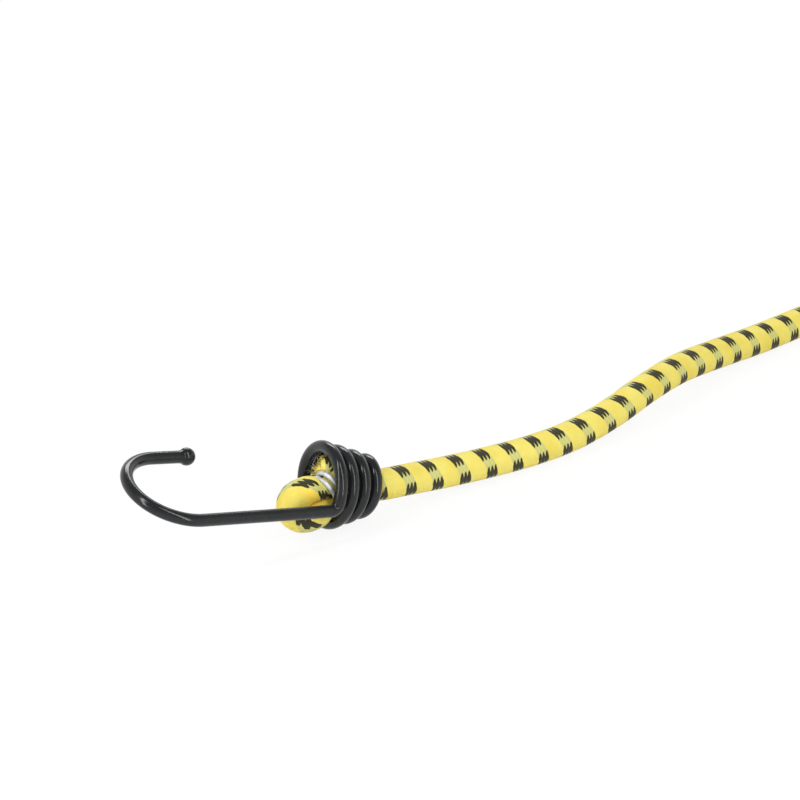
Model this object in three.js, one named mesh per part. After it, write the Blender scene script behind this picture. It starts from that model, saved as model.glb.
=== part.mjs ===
// Bungee cord: an elastic cord of rubber threads in a braided sheath, folded back and clamped at
// each end, with a plastic coated wire hook whose tapered coil grips the folded end.
// Units are millimetres, +Z is up, and the cord lies on the surface z = 0.

import * as THREE from 'three';
import { mergeVertices } from 'three/addons/utils/BufferGeometryUtils.js';

// Cord
const cordDiameter = 8;
const sheathWall = 0.75;
const coreClearance = 0.3;

// Gap left between faces that touch, and the angle unit
const seatGap = 0.3;
const degree = Math.PI / 180;

// Hook wire, with its coating, and the ball moulded on its tip
const wireDiameter = 3.2;
const ballDiameter = 4.5;

// Tapered coil of the hook: radii to the middle of the wire
const coilMouthRadius = 10.15;
const coilThroatRadius = 6.1;
const coilPitch = 4.25;
const coilTurns = 3.5;

// The back of the second turn is wound wider and close behind the first
const backSwell = 0.8;
const backPull = 0.6;
const backMiddleDeg = 556;
const backReachDeg = 84;

// Hook proper
const cornerRadius = 2.6;
const shankLength = 40.5;
const shankFlareDeg = 3.1;
const bendRadius = 12.85;
const bendArcDeg = 181;
const prongLength = 10.2;

// How each end lies: the wide turn of the coil rests on the surface, and the axis of the coil
// falls towards the cord
const axisFallDeg = 12.1;
const shankDropDeg = 16.5;
const headingA = 33.3;

// Clamp: a galvanised wire wound one and a half times round the two legs of the fold
const clampWire = 1.3;
const clampLoops = 1.5;
const clampPitch = 2;
const clampLegSpacing = 5.3;
const clampLegDiameter = 5;
const clampLegRun = 1.4;
const clampCentre = [1.8, -2.5, -0.5];
const clampRiseDeg = 40;
const clampLeanDeg = 6;
const clampTwistDeg = 18;

// Stored coil of the length that isn't laid out: two layers of spiral turns
const storedRadius = 40;
const turnSpacing = 8.6;
const layerRise = 8.6;
const storedSweepDeg = 855;
const tubeEnd = 8;

// Faces round each tube and steps along it
const wireSides = 8;
const legSides = 10;
const runSides = 12;
const storedSides = 6;
const stepsPerTurn = 24;
const runSteps = 16;
const leadSteps = 8;

const cordRadius = cordDiameter / 2;
const boreRadius = cordRadius - sheathWall;
const coreRadius = boreRadius - coreClearance;
const wireRadius = wireDiameter / 2;
const ballRadius = ballDiameter / 2;
const coilLength = coilPitch * coilTurns;
const throatFace = coilLength + wireRadius + seatGap;

// Route of the cord inside hook A, from the throat of the coil round the fold to the cut tail;
// it passes straight through the clamp between the first and second list, and again between
// the second and third. Each point is x along the coil's axis, y to the left, z up, and the
// share of the cord's full thickness that is left to it there.
const intoFold = [
  [throatFace, 0, 0, 1],
  [13.2, 0, 0, 1],
  [9, -0.5, -0.3, 0.86],
];
const roundFold = [
  [0.3, -2.65, -4.8, 0.68],
  [-2.3, -3.95, -6.5, 0.85],
  [-6.4, -4.4, -6.8, 0.88],
  [-9.8, -4.2, -4.7, 0.88],
  [-9.6, -4, -1.5, 0.88],
  [-6.4, -3.9, 0.2, 0.8],
  [-3.4, -3.7, -0.1, 0.62],
];
const outOfFold = [
  [2, -2.5, 3.8, 0.64],
  [1.8, -1, 5, 0.61],
  [0.9, 0.5, 5.7, 0.58],
];

// Route of the laid out stretch on the surface, from hook A's coil to the stored coil.
// x and y are from the mouth of hook A's coil, z is the middle of the cord.
const runRoute = [
  [17.8, 12, 7],
  [23.4, 16.9, 6.1],
  [30.6, 22.5, 5.2],
  [42.1, 31.1, 4.3],
  [53.6, 39.6, 4],
  [64.4, 49.4, 4.1],
  [74.5, 61, 5.1],
  [84.3, 74.5, 6.7],
  [93.5, 88, 6.8],
  [104.7, 103, 5.1],
  [115.8, 115.3, 4.1],
  [127.3, 127.3, 4],
  [138, 138.2, 4],
];
const runEnd = [148, 148.2, 4];

// Route of the short lead from the top of the stored coil down to hook B: distance along
// the lead and height of the cord's middle.
const leadRoute = [
  [10, 11.3],
  [20, 9],
  [30, 6.2],
  [38, 4.6],
  [46, 4],
  [54, 4.7],
];
const leadLength = 64;

// Straight way of the cord out of a face it meets
const straightOut = 3;

const materials = {
  wire: { color: 0x1b1d1f, roughness: 0.28, metalness: 0.0 },
  steel: { color: 0xb9bdc0, roughness: 0.35, metalness: 0.9 },
  sheath: { color: 0xf2df4e, roughness: 0.8, metalness: 0.0 },
  core: { color: 0xd9cfae, roughness: 0.7, metalness: 0.0 },
};

function named(name, geometry, look) {
  const mesh = new THREE.Mesh(geometry, new THREE.MeshStandardMaterial(materials[look]));
  mesh.name = name;
  return mesh;
}

function vectors(points) {
  return points.map(([x, y, z]) => new THREE.Vector3(x, y, z));
}

// Directions across a path at each of its points: carried along without twist, or kept
// upright where up is given.
function crossFrames(path, up) {
  const frames = [];
  let normal = null;
  let before = null;
  for (let i = 0; i < path.length; i += 1) {
    const ahead = path[Math.min(i + 1, path.length - 1)];
    const behind = path[Math.max(i - 1, 0)];
    const along = ahead.clone().sub(behind).normalize();
    if (up) {
      normal = up.clone().addScaledVector(along, -up.dot(along)).normalize();
    } else if (!normal) {
      const helper = Math.abs(along.z) > 0.9 ? new THREE.Vector3(1, 0, 0) : new THREE.Vector3(0, 0, 1);
      normal = helper.addScaledVector(along, -helper.dot(along)).normalize();
    } else {
      normal = normal.clone().applyQuaternion(new THREE.Quaternion().setFromUnitVectors(before, along));
    }
    frames.push({ normal, side: along.clone().cross(normal) });
    before = along;
  }
  return frames;
}

// One closed tube along a path. outer and inner give a radius at each point; without inner
// the tube is solid and its ends close on their middle points.
function tube(path, { outer, inner = null, sides, up = null, turn = 0 }) {
  const frames = crossFrames(path, up);
  const positions = [];
  const index = [];
  const addRing = (i, radius) => {
    const first = positions.length / 3;
    const { normal, side } = frames[i];
    for (let k = 0; k < sides; k += 1) {
      const angle = turn + (k / sides) * 2 * Math.PI;
      const point = path[i].clone();
      point.addScaledVector(normal, radius * Math.cos(angle));
      point.addScaledVector(side, radius * Math.sin(angle));
      positions.push(point.x, point.y, point.z);
    }
    return first;
  };
  const joinRings = (a, b) => {
    for (let k = 0; k < sides; k += 1) {
      const next = (k + 1) % sides;
      index.push(a + k, a + next, b + next, a + k, b + next, b + k);
    }
  };
  const closeOn = (i, ring, forward) => {
    const middle = positions.length / 3;
    positions.push(path[i].x, path[i].y, path[i].z);
    for (let k = 0; k < sides; k += 1) {
      const next = (k + 1) % sides;
      if (forward) index.push(middle, ring + k, ring + next);
      else index.push(middle, ring + next, ring + k);
    }
  };
  const last = path.length - 1;
  const outerRings = path.map((_, i) => addRing(i, outer(i)));
  for (let i = 0; i < last; i += 1) joinRings(outerRings[i], outerRings[i + 1]);
  if (inner) {
    const innerRings = path.map((_, i) => addRing(i, inner(i)));
    for (let i = 0; i < last; i += 1) joinRings(innerRings[i + 1], innerRings[i]);
    joinRings(innerRings[0], outerRings[0]);
    joinRings(outerRings[last], innerRings[last]);
  } else {
    closeOn(0, outerRings[0], false);
    closeOn(last, outerRings[last], true);
  }
  const geometry = new THREE.BufferGeometry();
  geometry.setAttribute('position', new THREE.Float32BufferAttribute(positions, 3));
  geometry.setIndex(index);
  return geometry;
}

// Direction square to the coil's axis, turned from the shank by phase, upwards and over.
function fromShank(phase) {
  const angle = Math.PI + shankDropDeg * degree - phase;
  return new THREE.Vector3(0, Math.cos(angle), Math.sin(angle));
}

function coilPoint(phase, startPhase) {
  const turns = (phase - startPhase) / (2 * Math.PI);
  const radius = coilMouthRadius - (coilMouthRadius - coilThroatRadius) * (turns / coilTurns);
  const fromBack = Math.min(Math.abs(phase / degree - backMiddleDeg) / backReachDeg, 1);
  const swell = Math.cos((fromBack * Math.PI) / 2) ** 2;
  const advance = coilPitch * turns - backPull * swell;
  return fromShank(phase).multiplyScalar(radius + backSwell * swell).add(new THREE.Vector3(advance, 0, 0));
}

// Middle line of the hook's wire with a radius at each point, from the cut end at the throat
// of the coil to the ball on the tip.
function hookWire() {
  const path = [];
  const radii = [];
  const add = (point, radius = wireRadius) => {
    path.push(point);
    radii.push(radius);
  };
  const startPhase = Math.asin(cornerRadius / coilMouthRadius);
  const coilSteps = Math.round(coilTurns * stepsPerTurn);
  for (let i = coilSteps; i > 0; i -= 1) {
    add(coilPoint(startPhase + (i / stepsPerTurn) * 2 * Math.PI, startPhase));
  }

  const mouth = coilPoint(startPhase, startPhase);
  const aside = fromShank(startPhase + Math.PI / 2);
  const corner = mouth.clone().addScaledVector(aside, -cornerRadius);
  const outward = fromShank(0);
  const flare = shankFlareDeg * degree;
  const shank = new THREE.Vector3(-Math.cos(flare), 0, 0).addScaledVector(outward, Math.sin(flare));
  const shankStart = corner.clone().addScaledVector(shank, cornerRadius);
  const cornerCurve = new THREE.QuadraticBezierCurve3(mouth, corner, shankStart);
  const cornerSteps = 5;
  for (let i = 0; i <= cornerSteps; i += 1) add(cornerCurve.getPoint(i / cornerSteps));

  const shankSteps = 4;
  const bendStart = corner.clone().addScaledVector(shank, shankLength);
  for (let i = 1; i < shankSteps; i += 1) add(shankStart.clone().lerp(bendStart, i / shankSteps));

  const inward = outward.clone().negate().addScaledVector(shank, outward.dot(shank)).normalize();
  const bendSteps = 16;
  const around = (angle) => bendStart.clone()
    .addScaledVector(shank, bendRadius * Math.sin(angle))
    .addScaledVector(inward, bendRadius * (1 - Math.cos(angle)));
  for (let i = 0; i <= bendSteps; i += 1) add(around(bendArcDeg * degree * (i / bendSteps)));

  const bendEnd = around(bendArcDeg * degree);
  const prong = shank.clone().multiplyScalar(Math.cos(bendArcDeg * degree))
    .addScaledVector(inward, Math.sin(bendArcDeg * degree));
  const ballAt = bendEnd.clone().addScaledVector(prong, prongLength);
  const neckAngle = Math.PI - Math.asin(wireRadius / ballRadius);
  const poleAngle = 12 * degree;
  const ballSteps = 7;
  for (let i = 0; i <= ballSteps; i += 1) {
    const angle = neckAngle + (poleAngle - neckAngle) * (i / ballSteps);
    const point = ballAt.clone().addScaledVector(prong, ballRadius * Math.cos(angle));
    add(point, ballRadius * Math.sin(angle));
  }
  return { path, radii };
}

function hookGeometry() {
  const { path, radii } = hookWire();
  return tube(path, { outer: (i) => radii[i], sides: wireSides });
}

// Height of the middle of the coil's mouth that sets the hook down on the surface
function restHeight() {
  const tilted = hookGeometry().rotateY(axisFallDeg * degree);
  tilted.computeBoundingBox();
  return -tilted.boundingBox.min.z;
}

const mouthHeight = restHeight();

const clampLegShare = clampLegDiameter / cordDiameter;

// Directions of the clamp: along the two legs, across from the lower to the upper leg, and
// beside both.
function clampFrame() {
  const pose = new THREE.Euler(clampTwistDeg * degree, -clampRiseDeg * degree, clampLeanDeg * degree, 'ZYX');
  const along = new THREE.Vector3(1, 0, 0).applyEuler(pose);
  const across = new THREE.Vector3(0, 0, 1).applyEuler(pose);
  return { along, across, beside: along.clone().cross(across), centre: new THREE.Vector3(...clampCentre) };
}

// A leg's way through the clamp: straight, on the given side, in the given direction.
function legPoints(side, direction) {
  const { along, across, centre } = clampFrame();
  const middle = centre.addScaledVector(across, (side * clampLegSpacing) / 2);
  return [-direction, 0, direction].map((step) => {
    const { x, y, z } = middle.clone().addScaledVector(along, step * clampLegRun);
    return [x, y, z, clampLegShare];
  });
}

// Folded end of the cord: smooth middle line through its points, with its thickness.
function foldPath() {
  const route = [...intoFold, ...legPoints(-1, -1), ...roundFold, ...legPoints(1, 1), ...outOfFold];
  const curve = new THREE.CatmullRomCurve3(vectors(route), false, 'centripetal');
  const spans = route.length - 1;
  const stepsPerSpan = 3;
  const path = [];
  const shares = [];
  for (let i = 0; i <= spans * stepsPerSpan; i += 1) {
    const at = i / stepsPerSpan;
    const span = Math.min(Math.floor(at), spans - 1);
    path.push(curve.getPoint(at / spans));
    shares.push(THREE.MathUtils.lerp(route[span][3], route[span + 1][3], at - span));
  }
  return { path, shares };
}

// Clamp wire: a round ended loop about the two legs, wound from its far side.
function clampGeometry() {
  const { along, across, beside, centre } = clampFrame();
  const endRadius = clampLegDiameter / 2 + seatGap + clampWire / 2;
  const straight = clampLegSpacing;
  const arc = Math.PI * endRadius;
  const lap = 2 * straight + 2 * arc;
  const loopSteps = 18;
  const path = [];
  for (let i = 0; i <= clampLoops * loopSteps; i += 1) {
    const travelled = (i / loopSteps) * lap;
    let rest = travelled % lap;
    let u = 0;
    let v = 0;
    if (rest < arc) {
      const angle = rest / endRadius;
      u = straight / 2 + endRadius * Math.sin(angle);
      v = -endRadius * Math.cos(angle);
    } else if (rest < arc + straight) {
      u = straight / 2 - (rest - arc);
      v = endRadius;
    } else if (rest < 2 * arc + straight) {
      const angle = (rest - arc - straight) / endRadius;
      u = -straight / 2 - endRadius * Math.sin(angle);
      v = endRadius * Math.cos(angle);
    } else {
      u = -straight / 2 + (rest - 2 * arc - straight);
      v = -endRadius;
    }
    const advance = (travelled / lap - clampLoops / 2) * clampPitch;
    const point = centre.clone().addScaledVector(along, advance);
    path.push(point.addScaledVector(across, u).addScaledVector(beside, v));
  }
  return tube(path, { outer: () => clampWire / 2, sides: 6 });
}

// One whole end of the product in the frame of its coil, turned and set down on the surface.
function cordEnd(letter, x, y, headingDeg) {
  const end = new THREE.Group();
  end.rotation.set(0, axisFallDeg * degree, headingDeg * degree, 'ZYX');
  end.position.set(x, y, mouthHeight);
  const { path, shares } = foldPath();
  end.add(named(`hook_${letter}`, hookGeometry(), 'wire'));
  end.add(named(`clamp_${letter}`, clampGeometry(), 'steel'));
  end.add(named(`sheath_end_${letter}`, tube(path, {
    outer: (i) => cordRadius * shares[i],
    inner: (i) => boreRadius * shares[i],
    sides: legSides,
  }), 'sheath'));
  end.add(named(`core_end_${letter}`, tube(path, {
    outer: (i) => coreRadius * shares[i],
    sides: legSides,
  }), 'core'));
  return end;
}

// Polygon section of the cord, open in the middle where bore is given.
function section(radius, bore) {
  const outline = (r) => Array.from({ length: runSides }, (_, k) => {
    const angle = (k / runSides) * 2 * Math.PI;
    return new THREE.Vector2(r * Math.cos(angle), r * Math.sin(angle));
  });
  const shape = new THREE.Shape(outline(radius));
  if (bore) shape.holes.push(new THREE.Path(outline(bore)));
  return shape;
}

function extruded(shape, curve, steps) {
  return new THREE.ExtrudeGeometry(shape, { steps, bevelEnabled: false, extrudePath: curve });
}

function addStretch(group, name, curve, steps) {
  group.add(named(`sheath_${name}`, extruded(section(cordRadius, boreRadius), curve, steps), 'sheath'));
  group.add(named(`core_${name}`, extruded(section(coreRadius, 0), curve, steps), 'core'));
}

// Where the cord leaves a coil that stands at x, y: a point on the coil's axis in front of
// the cord's end face there.
function throatPoint(x, y, headingDeg, beyond) {
  const reach = throatFace + beyond;
  const fall = axisFallDeg * degree;
  const heading = headingDeg * degree;
  return new THREE.Vector3(
    x + reach * Math.cos(fall) * Math.cos(heading),
    y + reach * Math.cos(fall) * Math.sin(heading),
    mouthHeight - reach * Math.sin(fall),
  );
}

// Middle line of the stored coil: the turns spiral in on the surface and out again on top,
// and climb in the half turn where the spiral reverses.
function storedPath(entry, headingDeg) {
  const sweep = storedSweepDeg * degree;
  const middle = sweep / 2;
  const outerRadius = storedRadius + (turnSpacing * (middle / (2 * Math.PI))) / 2;
  const heading = headingDeg * degree;
  const centre = new THREE.Vector3(
    entry.x + outerRadius * Math.sin(heading),
    entry.y - outerRadius * Math.cos(heading),
    0,
  );
  const entryAngle = heading + Math.PI / 2;
  const floorHeight = cordRadius * Math.cos(Math.PI / storedSides);
  const path = [];
  const steps = Math.round((sweep / (2 * Math.PI)) * stepsPerTurn);
  for (let i = 0; i <= steps; i += 1) {
    const travelled = sweep * (i / steps);
    const fromMiddle = Math.abs(travelled - middle);
    const radius = outerRadius - turnSpacing * ((middle - fromMiddle) / (2 * Math.PI));
    const climb = THREE.MathUtils.smoothstep(travelled, middle - Math.PI / 2, middle + Math.PI / 2);
    const angle = entryAngle - travelled;
    path.push(new THREE.Vector3(
      centre.x + radius * Math.cos(angle),
      centre.y + radius * Math.sin(angle),
      floorHeight + layerRise * climb,
    ));
  }
  const exitHeading = entryAngle - sweep - Math.PI / 2;
  const ahead = new THREE.Vector3(Math.cos(heading), Math.sin(heading), 0);
  const away = new THREE.Vector3(Math.cos(exitHeading), Math.sin(exitHeading), 0);
  path.unshift(path[0].clone().addScaledVector(ahead, -tubeEnd));
  path.push(path[path.length - 1].clone().addScaledVector(away, tubeEnd));
  return { path, exitHeading };
}

// Least distance between parts of a path that are more than reach apart along it.
function leastGap(path, reach, diameter) {
  const along = [0];
  for (let i = 1; i < path.length; i += 1) along.push(along[i - 1] + path[i].distanceTo(path[i - 1]));
  let least = Infinity;
  for (let i = 0; i < path.length; i += 1) {
    for (let j = i + 1; j < path.length; j += 1) {
      if (along[j] - along[i] > reach) least = Math.min(least, path[i].distanceTo(path[j]) - diameter);
    }
  }
  return least;
}

function pathLength(path) {
  return path.slice(1).reduce((sum, point, i) => sum + point.distanceTo(path[i]), 0);
}

const bungee = new THREE.Group();

// End A, as it lies in front, and the laid out stretch behind it
bungee.add(cordEnd('a', 0, 0, headingA));
const runCurve = new THREE.CatmullRomCurve3([
  throatPoint(0, 0, headingA, seatGap),
  throatPoint(0, 0, headingA, seatGap + straightOut),
  ...vectors([...runRoute, runEnd]),
], false, 'centripetal');
addStretch(bungee, 'run', runCurve, runSteps);

// Stored coil, which takes up where the laid out stretch ends
const runLast = new THREE.Vector3(...runEnd);
const runAway = runLast.clone().sub(new THREE.Vector3(...runRoute[runRoute.length - 1])).normalize();
const coilHeading = Math.atan2(runAway.y, runAway.x) / degree;
const coilEntry = runLast.clone().addScaledVector(runAway, seatGap + tubeEnd);
const stored = storedPath(coilEntry, coilHeading);
const upright = new THREE.Vector3(0, 0, 1);
const storedTube = { sides: storedSides, up: upright, turn: Math.PI / storedSides };
bungee.add(named('sheath_coil', tube(stored.path, {
  outer: () => cordRadius,
  inner: () => boreRadius,
  ...storedTube,
}), 'sheath'));
bungee.add(named('core_coil', tube(stored.path, { outer: () => coreRadius, ...storedTube }), 'core'));
console.log(`stored coil, least gap to itself: ${leastGap(stored.path, Math.PI * cordDiameter, cordDiameter).toFixed(2)} mm`);

// Lead from the top of the stored coil down to end B
const coilLast = stored.path[stored.path.length - 1];
const leadAway = new THREE.Vector3(Math.cos(stored.exitHeading), Math.sin(stored.exitHeading), 0);
const leadAt = (distance, height) => new THREE.Vector3(coilLast.x, coilLast.y, height)
  .addScaledVector(leadAway, seatGap + distance);
const headingB = (stored.exitHeading + Math.PI) / degree;
const mouthB = leadAt(leadLength, 0)
  .addScaledVector(leadAway, (throatFace + seatGap) * Math.cos(axisFallDeg * degree));
const leadCurve = new THREE.CatmullRomCurve3([
  leadAt(0, coilLast.z),
  leadAt(straightOut, coilLast.z),
  ...leadRoute.map(([distance, height]) => leadAt(distance, height)),
  throatPoint(mouthB.x, mouthB.y, headingB, seatGap + straightOut),
  throatPoint(mouthB.x, mouthB.y, headingB, seatGap),
], false, 'centripetal');
addStretch(bungee, 'lead', leadCurve, leadSteps);
bungee.add(cordEnd('b', mouthB.x, mouthB.y, headingB));

// The origin lies on the surface, under the middle of the two hooked ends
bungee.updateMatrixWorld(true);
const ends = new THREE.Box3();
bungee.traverse((piece) => {
  if (piece.isMesh && /_(a|b)$/.test(piece.name)) ends.expandByObject(piece, true);
});
const middle = ends.getCenter(new THREE.Vector3());
bungee.position.set(-middle.x, -middle.y, 0);

const { path: foldLine } = foldPath();
console.log(`cord, middle of coil A to middle of coil B: ${(runCurve.getLength() + pathLength(stored.path)
  + leadCurve.getLength()).toFixed(0)} mm free, fold ${pathLength(foldLine).toFixed(0)} mm at each end`);

export default bungee;
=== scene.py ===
import math

import bpy
import numpy as np
from mathutils import Matrix, Quaternion, Vector


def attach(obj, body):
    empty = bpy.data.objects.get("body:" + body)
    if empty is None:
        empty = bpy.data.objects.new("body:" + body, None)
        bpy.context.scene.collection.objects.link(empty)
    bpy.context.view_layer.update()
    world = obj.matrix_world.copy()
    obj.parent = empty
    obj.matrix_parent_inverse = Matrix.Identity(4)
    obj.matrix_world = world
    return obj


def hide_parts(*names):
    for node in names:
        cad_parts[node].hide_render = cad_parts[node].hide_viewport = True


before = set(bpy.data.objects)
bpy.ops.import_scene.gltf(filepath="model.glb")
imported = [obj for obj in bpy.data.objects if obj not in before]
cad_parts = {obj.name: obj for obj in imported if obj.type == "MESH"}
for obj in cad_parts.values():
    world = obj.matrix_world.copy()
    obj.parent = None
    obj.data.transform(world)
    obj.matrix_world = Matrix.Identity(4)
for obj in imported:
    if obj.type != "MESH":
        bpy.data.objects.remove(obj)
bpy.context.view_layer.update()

# Bungee cord: braided elastic cord, folded and clamped at each end inside the coil of a plastic
# coated wire hook. Sizes below are in millimetres and are turned to metres when a mesh is made.

mm = 0.001
scene = bpy.context.scene
scene.view_settings.view_transform = "Standard"


# Helpers for paths and meshes

def vec(x, y, z=0.0):
    return np.array([x, y, z], dtype=float)


def unit(v):
    return v / np.linalg.norm(v)


def rotation(degrees, axis, size=3):
    return Matrix.Rotation(math.radians(degrees), size, axis)


def softStep(t):
    # from 0 to 1 with a level start and end
    return t * t * (3 - 2 * t)


def chordSpline(points, stepsPerSpan, extra=None):
    # centripetal spline through the points, as in the CAD; extra values are blended along with it
    points = [np.array(p, dtype=float) for p in points]
    ghostStart = points[0] * 2 - points[1]
    ghostEnd = points[-1] * 2 - points[-2]
    full = [ghostStart] + points + [ghostEnd]
    path, values = [], []
    for i in range(len(points) - 1):
        p0, p1, p2, p3 = full[i], full[i + 1], full[i + 2], full[i + 3]
        d0 = max(np.linalg.norm(p1 - p0) ** 0.5, 1e-4)
        d1 = max(np.linalg.norm(p2 - p1) ** 0.5, 1e-4)
        d2 = max(np.linalg.norm(p3 - p2) ** 0.5, 1e-4)
        t1 = (p1 - p0) / d0 - (p2 - p0) / (d0 + d1) + (p2 - p1) / d1
        t2 = (p2 - p1) / d1 - (p3 - p1) / (d1 + d2) + (p3 - p2) / d2
        t1, t2 = t1 * d1, t2 * d1
        last = i == len(points) - 2
        for k in range(stepsPerSpan + (1 if last else 0)):
            t = k / stepsPerSpan
            c2 = -3 * p1 + 3 * p2 - 2 * t1 - t2
            c3 = 2 * p1 - 2 * p2 + t1 + t2
            path.append(p1 + t1 * t + c2 * t * t + c3 * t * t * t)
            if extra is not None:
                values.append(np.array(extra[i]) * (1 - softStep(t)) + np.array(extra[i + 1]) * softStep(t))
    return np.array(path), (np.array(values) if extra is not None else None)


def lengthsAlong(path):
    steps = np.linalg.norm(np.diff(path, axis=0), axis=1)
    return np.concatenate([[0], np.cumsum(steps)])


def evenPath(path, step):
    # the same line with points an even step apart
    along = lengthsAlong(path)
    count = max(int(round(along[-1] / step)), 2)
    targets = np.linspace(0, along[-1], count + 1)
    return np.stack([np.interp(targets, along, path[:, k]) for k in range(3)], axis=1)


def smoothPath(path, rounds):
    for _ in range(rounds):
        inner = (path[:-2] + 2 * path[1:-1] + path[2:]) / 4
        path = np.concatenate([path[:1], inner, path[-1:]])
    return path


def tangents(path):
    t = np.gradient(path, axis=0)
    return t / np.linalg.norm(t, axis=1)[:, None]


def carriedFrames(path, start):
    # two directions across the path, carried along it without twist
    t = tangents(path)
    normal = unit(start - t[0] * np.dot(start, t[0]))
    normals = [normal]
    for i in range(1, len(path)):
        axis = np.cross(t[i - 1], t[i])
        size = np.linalg.norm(axis)
        if size > 1e-9:
            turn = Quaternion(Vector(axis / size), math.atan2(size, float(np.dot(t[i - 1], t[i]))))
            normal = np.array(turn @ Vector(normal))
        normal = unit(normal - t[i] * np.dot(normal, t[i]))
        normals.append(normal)
    normals = np.array(normals)
    return normals, np.cross(t, normals)


def upDirections(path):
    # across the path, as near to straight up as it allows
    t = tangents(path)
    up = np.array([0.0, 0.0, 1.0]) - t * t[:, 2:3]
    return up / np.linalg.norm(up, axis=1)[:, None]


def meshObject(name, verts, faces, material, smooth=True):
    mesh = bpy.data.meshes.new(name)
    mesh.from_pydata([tuple(v) for v in verts], [], faces)
    mesh.update()
    if smooth:
        mesh.polygons.foreach_set("use_smooth", [True] * len(mesh.polygons))
    mesh.materials.append(material)
    obj = bpy.data.objects.new(name, mesh)
    scene.collection.objects.link(obj)
    return obj


def ringTube(rings):
    # faces of a tube from rings of points, with both ends closed on a middle point
    count, sides = len(rings), len(rings[0])
    verts = [p for ring in rings for p in ring]
    faces = []
    for i in range(count - 1):
        for k in range(sides):
            n = (k + 1) % sides
            faces.append((i * sides + k, i * sides + n, (i + 1) * sides + n, (i + 1) * sides + k))
    first = len(verts)
    verts.append(np.mean(rings[0], axis=0))
    verts.append(np.mean(rings[-1], axis=0))
    base = (count - 1) * sides
    for k in range(sides):
        n = (k + 1) % sides
        faces.append((first, n, k))
        faces.append((first + 1, base + k, base + n))
    return verts, faces


# Camera, at the photograph's angle

cameraSet = {
    "place": (-0.078224, -1.19999, 0.52844),
    "tiltDeg": 67.5,
    "lens": 236.925,
    "sensor": 36.0,
    "nearest": 0.05,
    "farthest": 20,
}


def makeCamera(s):
    data = bpy.data.cameras.new("camera")
    data.lens = s["lens"]
    data.sensor_width = s["sensor"]
    data.clip_start = s["nearest"]
    data.clip_end = s["farthest"]
    camera = bpy.data.objects.new("camera", data)
    camera.location = s["place"]
    camera.rotation_euler = (math.radians(s["tiltDeg"]), 0, 0)
    scene.collection.objects.link(camera)
    scene.camera = camera


makeCamera(cameraSet)
print("stage: camera set")

# Where things lie

layout = {
    "shift": (-98.576, -7.112, 0.0),      # from the mouth of coil A to the origin under the part
    "mouthHeight": 11.315,
    "fallDeg": 12.1,
    "headingADeg": 33.3,
    "headingBDeg": 90.0,
    "mouthB": (230.871, 33.179),
    "throatFace": 16.775,
    "gap": 0.3,
    "marksFrom": 17.5,                    # down the axis of coil A, where the marks on the cord count from
}
shift = vec(*layout["shift"])


def endMatrix(letter):
    # from a coil's own frame to the frame of the part, in millimetres
    heading = layout["headingADeg"] if letter == "a" else layout["headingBDeg"]
    x, y = (0.0, 0.0) if letter == "a" else layout["mouthB"]
    turn = rotation(heading, "Z", 4) @ rotation(layout["fallDeg"], "Y", 4)
    place = Matrix.Translation(Vector((x, y, layout["mouthHeight"])) + Vector(layout["shift"]))
    return np.array(place @ turn)


def placed(points, matrix):
    points = np.asarray(points, dtype=float)
    return points @ matrix[:3, :3].T + matrix[:3, 3]


def throatPoint(letter, beyond):
    return placed([[layout["throatFace"] + beyond, 0, 0]], endMatrix(letter))[0]


# Free cord

cordSet = {
    "diameter": 8.0,
    "length": 0.872,
    "sides": 32,
    "step": 1.0,
    "straight": 3.0,                      # how far the line goes straight on from a throat or a stretch
    "stepsPerSpan": 12,
    "stepsPerTurn": 96,
    "smoothRounds": 4,
    "run": [(17.8, 12, 7), (23.4, 16.9, 6.1), (30.6, 22.5, 5.2), (42.1, 31.1, 4.3), (53.6, 39.6, 4),
            (64.4, 49.4, 4.1), (74.5, 61, 5.1), (84.3, 74.5, 6.7), (93.5, 88, 6.8), (104.7, 103, 5.1),
            (115.8, 115.3, 4.1), (127.3, 127.3, 4), (138, 138.2, 4), (148, 148.2, 4)],
    "storedRadius": 40.0,
    "turnSpacing": 8.6,
    "layerRise": 8.6,
    "sweepDeg": 855.0,
    "tubeEnd": 8.0,
    "lead": [(10, 11.84), (20, 9.3), (30, 6.2), (38, 4.6), (46, 4), (54, 4.7)],
    # marks seen in the photograph: turn of the black yarns, and how far along the cord it lies
    "markTurns": [-1, 0, 3, 6, 9, 12, 15, 18],
    "markPlaces": [-2.7, 6.5, 33.0, 57.0, 82.3, 107.4, 134.1, 157.7],
    "markPitch": 8.38,
    "markWindow": 25,                     # points over which the count of the marks is evened out
}


def storedTurns(s, entry, heading):
    sweep = math.radians(s["sweepDeg"])
    middle = sweep / 2
    outer = s["storedRadius"] + s["turnSpacing"] * (middle / (2 * math.pi)) / 2
    centre = vec(entry[0] + outer * math.sin(heading), entry[1] - outer * math.cos(heading))
    steps = round(sweep / (2 * math.pi) * s["stepsPerTurn"])
    floorHeight = s["diameter"] / 2
    points = []
    for i in range(steps + 1):
        travelled = sweep * i / steps
        radius = outer - s["turnSpacing"] * ((middle - abs(travelled - middle)) / (2 * math.pi))
        climb = softStep(min(max((travelled - middle + math.pi / 2) / math.pi, 0), 1))
        angle = heading + math.pi / 2 - travelled
        points.append(vec(centre[0] + radius * math.cos(angle), centre[1] + radius * math.sin(angle),
                          floorHeight + s["layerRise"] * climb))
    exitHeading = heading - sweep
    return points, exitHeading


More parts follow.
